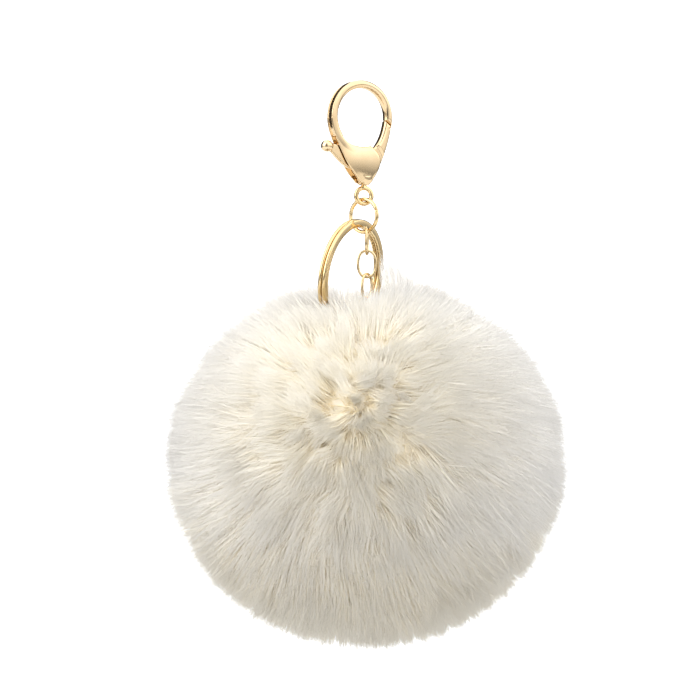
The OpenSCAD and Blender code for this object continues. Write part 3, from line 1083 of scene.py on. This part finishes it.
def wisp_paths(rng):
    """A few long strands that stand up beside the chain, on the split ring's side."""
    spin, polar = rng.uniform(*WISP_BEARINGS, WISPS), rng.uniform(*WISP_ROOT_ANGLES, WISPS)
    root = ROOT_R * on_sphere(np.radians(polar), spin)
    x, y = rng.uniform(*WISP_X, WISPS), rng.normal(*WISP_Y, WISPS)
    rise = WISP_RISE * bell(x - WISP_PEAK_X, WISP_PEAK_WIDTH) * rng.uniform(0.0, 1.0, WISPS)
    tip = np.stack([x, y, FUR_R - WISP_DEPTH + rise + rng.normal(0, 0.5, WISPS)], 1)
    along = ALONG[None, :, None]
    outward = unit(root * np.array([1.0, 1.0, 0.0]))[:, None]
    bulge = WISP_BULGE * np.sin(math.pi * along) * outward
    return root[:, None] + (tip - root)[:, None] * along + bulge


def wool_paths(rng):
    """Short strands at all angles that fill the fur between its long fibres."""
    d = unit(rng.normal(size=(WOOL, 3)))
    d = d[np.degrees(np.arccos(d[:, 2])) > 2 * THROAT_ANGLE]
    tilted = unit(d + rng.normal(0, WOOL_TILT, d.shape))
    root = fur_radius(d) - UNDERFUR_DEPTH - 1.0
    tip = fur_radius(tilted) - rng.uniform(*WOOL_TIP_DEPTH, len(d))
    start, end = (d * root[:, None])[:, None], (tilted * tip[:, None])[:, None]
    return start + (end - start) * ALONG[None, :, None]


def nearest_lock(points, locks):
    tree = kdtree.KDTree(len(locks))
    for i, p in enumerate(locks):
        tree.insert(p, i)
    tree.balance()
    return np.array([tree.find(p)[1] for p in points])


def grow_fur():
    """Paths, tint and thickness of every strand."""
    rng = np.random.default_rng(SEED)
    d = spread_directions(STRANDS, rng, 1.6)
    dense = unit(WHORL + rng.normal(0, WHORL_SPREAD, (WHORL_STRANDS, 3)))
    stray = unit(rng.normal(size=(FLYAWAYS, 3)))
    d = np.concatenate([d, dense, stray])
    is_stray = np.arange(len(d)) >= STRANDS + WHORL_STRANDS
    keep = np.degrees(np.arccos(np.clip(d[:, 2], -1, 1))) > THROAT_ANGLE
    d, is_stray = d[keep], is_stray[keep]
    large = spread_directions(LARGE_LOCKS, rng, 1.2)
    small = spread_directions(SMALL_LOCKS, rng, 1.4)
    of_large = nearest_lock(small, large)
    of_small = nearest_lock(d, small)

    large_lean = rng.normal(0, LARGE_LEAN, LARGE_LOCKS)
    large_twist = rng.normal(0, LARGE_TWIST, LARGE_LOCKS)
    small_lean = 1 + large_lean[of_large] + rng.normal(0, SMALL_LEAN, SMALL_LOCKS)
    small_twist = large_twist[of_large] + rng.normal(0, SMALL_TWIST, SMALL_LOCKS)
    small_twist += SWIRL * swirl_noise(small, SEED + 1)
    near_whorl = bell(whorl_angle(small), WHORL_WIDTH)
    small_twist += WHORL_TWIST * near_whorl * rng.normal(0, 1, SMALL_LOCKS)
    small_lean += WHORL_LEAN * near_whorl * rng.normal(0, 1, SMALL_LOCKS)
    small_length = 1 - np.abs(rng.normal(0, SMALL_LENGTH, SMALL_LOCKS))
    lock_paths = strand_paths(small, small_lean, small_twist, small_length)

    lean = small_lean[of_small] + rng.normal(0, STRAND_LEAN, len(d))
    twist = small_twist[of_small] + rng.normal(0, STRAND_TWIST, len(d))
    length = small_length[of_small] + rng.normal(*STRAND_LENGTH, len(d))
    length = np.where(is_stray, rng.normal(*STRAY_LENGTH, len(d)), length)
    paths = strand_paths(d, lean, twist, length)

    from_whorl = whorl_angle(d)
    side = smooth_step(from_whorl, 50, 85)
    low = smooth_step(-d[:, 2], -0.1, 0.5)
    gather = GATHER + GATHER_SIDE * side + GATHER_LOW * low * (1 - side)
    gather = np.where(is_stray, GATHER_STRAY, gather)
    gather = gather * rng.uniform(*GATHER_SPREAD, len(d))
    share = (ALONG**1.3)[None, :] * gather[:, None]
    paths += (lock_paths[of_small] - paths) * share[:, :, None]

    # The underside's share of the tint is painted shade: lower strands take the whorl's darker,
    # yellower ramp
    tint = WHORL_TINT * bell(from_whorl, WHORL_TINT_WIDTH) + UNDERSIDE_SHADE_TINT * low
    tint += rng.uniform(0, TINT_SPREAD, len(d))
    width = rng.uniform(*WIDTH_SPREAD, len(d)) * np.where(is_stray, STRAY_WIDTH, 1.0)
    wisps, wool = wisp_paths(rng), wool_paths(rng)
    near_whorl = bell(whorl_angle(unit(wool[:, 0])), WOOL_TINT_WIDTH)
    wool_tint = WOOL_TINT + WOOL_WHORL_TINT * near_whorl
    tint = np.concatenate([tint, np.full(len(wisps), WISP_TINT), wool_tint])
    widths = np.full(len(wisps), WISP_WIDTH), np.full(len(wool), WOOL_WIDTH)
    width = np.concatenate([width, *widths])
    return np.concatenate([paths, wisps, wool]), np.clip(tint, 0.01, 0.99), width


def strand_mesh(name, paths, tint, width):
    """Closed three-sided tapering tubes, one for each path, with fur_material's coordinates."""
    count, stations = paths.shape[:2]
    tangent = unit(np.diff(paths, axis=1))
    tangent = np.concatenate([tangent, tangent[:, -1:]], 1)
    first = unit(np.cross(tangent, unit(paths)) + 1e-6)
    second = np.cross(tangent, first)
    turns = [2 * math.pi * corner / 3 for corner in range(3)]
    rings = np.stack([first * math.cos(a) + second * math.sin(a) for a in turns], 2)
    radius = np.array(STRAND_RADII)[None, :, None, None] * width[:, None, None, None]
    body = (paths[:, :, None] + rings * radius)[:, :-1].reshape(count, -1, 3)
    points = np.concatenate([body, paths[:, -1:]], 1)
    per = points.shape[1]
    tip = per - 1
    quads = [
        (3 * s + k, 3 * s + (k + 1) % 3, 3 * (s + 1) + (k + 1) % 3, 3 * (s + 1) + k)
        for s in range(stations - 2)
        for k in range(3)
    ]
    last = 3 * (stations - 2)
    triangles = [(last + k, last + (k + 1) % 3, tip) for k in range(3)] + [(2, 1, 0)]
    corners = np.array([c for f in quads + triangles for c in f])
    sizes = np.array([4] * len(quads) + [3] * len(triangles))
    start = np.arange(count)[:, None] * per
    loops = (start + corners[None]).ravel()
    starts = np.concatenate([[0], np.cumsum(np.tile(sizes, count))[:-1]])
    mesh = bpy.data.meshes.new(name)
    mesh.vertices.add(count * per)
    mesh.vertices.foreach_set("co", ((points + POM) * MM).astype(np.float32).ravel())
    mesh.loops.add(len(loops))
    mesh.loops.foreach_set("vertex_index", loops.astype(np.int32))
    mesh.polygons.add(len(starts))
    mesh.polygons.foreach_set("loop_start", starts.astype(np.int32))
    mesh.polygons.foreach_set("use_smooth", np.ones(len(starts), bool))
    mesh.update(calc_edges=True)
    along = np.repeat(np.arange(stations - 1) / (stations - 1), 3).tolist() + [1.0]
    u = np.repeat(tint, len(corners))
    v = np.tile(np.array(along)[corners] * 0.98 + 0.01, count)
    layer = mesh.uv_layers.new(name=STRAND_UV)
    layer.data.foreach_set("uv", np.stack([u, v], 1).astype(np.float32).ravel())
    mesh.validate()
    return mesh


UNDERFUR_DEPTH = 8.8
# The wool's radius at rising angles from the top, where the rings and the chain part it
UNDERFUR_ANGLES = (0, 9, 17, 28, 180)
UNDERFUR_RADII = (26.5, 27.0, 34.0, 43.0, 50.0)
UNDERFUR_WHORL = 1.5


def add_underfur():
    """Dense short wool under the long fibres, open round the chain."""
    rng = np.random.default_rng(SEED + 3)
    rows, columns = 90, 180
    polar, spin = np.meshgrid(
        np.linspace(0.01, math.pi - 0.01, rows),
        np.linspace(0, 2 * math.pi, columns, endpoint=False),
        indexing="ij",
    )
    d = on_sphere(polar, spin).reshape(-1, 3)
    radius = np.interp(np.degrees(polar).ravel(), UNDERFUR_ANGLES, UNDERFUR_RADII)
    swell = UNDERFUR_WHORL * bell(whorl_angle(d), 20)
    radius = np.minimum(radius, fur_radius(d) - UNDERFUR_DEPTH + swell)
    radius = radius + 0.5 * swirl_noise(d * 2.5, SEED + 5) + rng.normal(0, 0.12, len(d))
    faces = []
    for i in range(rows - 1):
        for k in range(columns):
            a, b = i * columns + k, i * columns + (k + 1) % columns
            faces.append((a, a + columns, b + columns, b))
    faces.append(tuple(range(columns)))
    faces.append(tuple((rows - 1) * columns + k for k in range(columns))[::-1])
    piece = add_piece("underfur", "fur_pile", "faux_fur", (d * radius[:, None], faces), POM)
    piece.data.materials[0] = MATERIALS["underfur"]


def add_fur():
    """The fur as gores of the ball, with the same number of strands in each."""
    paths, tint, width = grow_fur()
    roots = unit(paths[:, 0])
    gores = np.array_split(np.argsort(np.arctan2(roots[:, 1], roots[:, 0])), FUR_REGIONS)
    for number, chosen in enumerate(gores, 1):
        name = f"fur_region_{number:02d}"
        mesh = strand_mesh(name, paths[chosen], tint[chosen], width[chosen])
        piece = as_piece(name, "fur_pile", "faux_fur", mesh)
        tie(piece, "fur_pile")


# ------------------------------------------------------------------ stage

FLOOR_Z = -0.28
FLOOR_SIZE = 2.0
FLOOR_TONE = 0.62
WORLD_STRENGTH = 1.8
# White fur is bright because light scatters many times between its strands
MAX_BOUNCES = 20
DIFFUSE_BOUNCES = 18
KEY_PLACE = (-1.0, -0.7, 0.55)
KEY_TARGET = (0, 0, -0.08)
KEY_SIZE = 1.3
KEY_POWER = 7.0
FLAG_COLOUR = (0.02, 0.016, 0.012, 1)
FLAG_TARGET = Vector((0.0, 0.0, -0.03))
FLAG_DISTANCE = 0.8
FLAG_EDGE = (0.4, 0.5)
# Each flag's bearing, elevation, half width, half height and opacity
FLAGS = {
    "flag_left": (-45, 0, 42, 48, 1.0),
    "flag_right": (27, 0, 24, 48, 1.0),
    "flag_front": (188, 0, 26, 48, 0.8),
}
DOME_R = 1.6
DOME_SHADE = (0.95, 0.05)
DOME_FADE = (0.36, 0.62)


def add_plane(name, centre, size, rotation, material):
    mesh = bpy.data.meshes.new(name)
    w, h = size[0] / 2, size[1] / 2
    mesh.from_pydata([(-w, -h, 0), (w, -h, 0), (w, h, 0), (-w, h, 0)], [], [(0, 1, 2, 3)])
    mesh.materials.append(material)
    plane = add_object(name, mesh)
    plane.location = centre
    plane.rotation_euler = rotation
    return plane


def facing(centre, target):
    """Rotation that turns a plane's or light's -Z towards the target."""
    return (Vector(target) - Vector(centre)).to_track_quat("-Z", "Y").to_euler()


def add_key_light():
    data = bpy.data.lights.new("key", "AREA")
    data.shape = "RECTANGLE"
    data.size = data.size_y = KEY_SIZE
    data.energy = KEY_POWER
    light = add_object("key", data)
    light.location = KEY_PLACE
    light.rotation_euler = facing(KEY_PLACE, KEY_TARGET)


def see_through(shader, opacity):
    """Lets the shader's surface through in part."""
    blend = shader.node("MixShader", Fac=opacity)
    clear = shader.node("BsdfTransparent")
    shader.feed(blend.inputs[1], clear.outputs["BSDF"])
    shader.feed(blend.inputs[2], shader.surface.outputs["BSDF"])
    shader.feed(shader.tree.nodes["Material Output"].inputs["Surface"], blend.outputs["Shader"])


def reflect_only(panel):
    """Only reflections see the panel, and it casts no shadow."""
    panel.visible_camera = False
    panel.visible_diffuse = False
    panel.visible_shadow = False
    panel.visible_transmission = False


def dark_cloth(name):
    """A dark material for a flag or the dome, with its coordinates from 0 to 1 across it."""
    shader = Shader(name, Roughness=1.0, Base_Color=FLAG_COLOUR)
    return shader, shader.split(shader.node("TexCoord").outputs["Generated"])


def add_flag(name, bearing, elevation, half_width, half_height, opacity):
    """A soft-edged dark flag that only the metal reflects. bearing is from straight behind the
    object and positive to the right; all the angles are in degrees."""
    shader, across = dark_cloth(name)
    soft = opacity
    for side in ("X", "Y"):
        from_middle = shader.combine("SUBTRACT", across[side], 0.5)
        fade = shader.fit(shader.combine("ABSOLUTE", from_middle, 0), 1.0, 0.0, FLAG_EDGE)
        soft = shader.combine("MULTIPLY", fade, soft)
    see_through(shader, soft)
    turn, rise = math.radians(bearing), math.radians(elevation)
    ahead = (math.sin(turn) * math.cos(rise), math.cos(turn) * math.cos(rise), math.sin(rise))
    centre = FLAG_TARGET + Vector(ahead) * FLAG_DISTANCE
    halves = (half_width, half_height)
    size = [2 * FLAG_DISTANCE * math.tan(math.radians(half)) for half in halves]
    reflect_only(add_plane(name, centre, size, facing(centre, FLAG_TARGET), shader.material))


def add_dome():
    """Darkens what the metal reflects, more so from below."""
    rise = np.linspace(-math.pi / 2, math.pi / 2, 33)
    points, faces = lathe([(DOME_R * math.cos(a), DOME_R * math.sin(a)) for a in rise], 48)
    mesh = bpy.data.meshes.new("dome")
    mesh.from_pydata(points.tolist(), [], [list(f) for f in faces])
    shader, across = dark_cloth("dome")
    see_through(shader, shader.fit(across["Z"], *DOME_SHADE, DOME_FADE))
    mesh.materials.append(shader.material)
    dome = add_object("dome", mesh)
    reflect_only(dome)


def add_stage():
    scene = bpy.context.scene
    scene.cycles.max_bounces = MAX_BOUNCES
    scene.cycles.diffuse_bounces = DIFFUSE_BOUNCES
    scene.view_settings.view_transform = "Standard"
    scene.world = bpy.data.worlds.new("studio")
    scene.world.use_nodes = True
    background = scene.world.node_tree.nodes["Background"]
    background.inputs["Color"].default_value = (1.0, 1.0, 1.0, 1)
    background.inputs["Strength"].default_value = WORLD_STRENGTH
    floor = Shader("floor", Roughness=0.9, Base_Color=(FLOOR_TONE, FLOOR_TONE, FLOOR_TONE, 1))
    add_plane("floor", (0, 0, FLOOR_Z), (FLOOR_SIZE, FLOOR_SIZE), (0, 0, 0), floor.material)
    add_key_light()
    add_dome()
    for name, place in FLAGS.items():
        add_flag(name, *place)


# ------------------------------------------------------------------ all together

add_camera()
add_clasp()
add_eye()
add_ring("jump_ring_wire", "jump_ring", "ring_gold", JUMP_R, JUMP_WIRE_R, JUMP_YAW, JUMP_SLIT)
add_split_ring()
for link, link_yaw in LINK_YAWS.items():
    add_link(link, link_yaw)
add_ring("anchor_ring_wire", "anchor_ring", "chain_gold", ANCHOR_R, ANCHOR_WIRE_R, ANCHOR_YAW)
add_anchor_thread()
add_gathering_thread()
add_washer()
add_backing()
add_filling()
add_underfur()
add_fur()
add_stage()
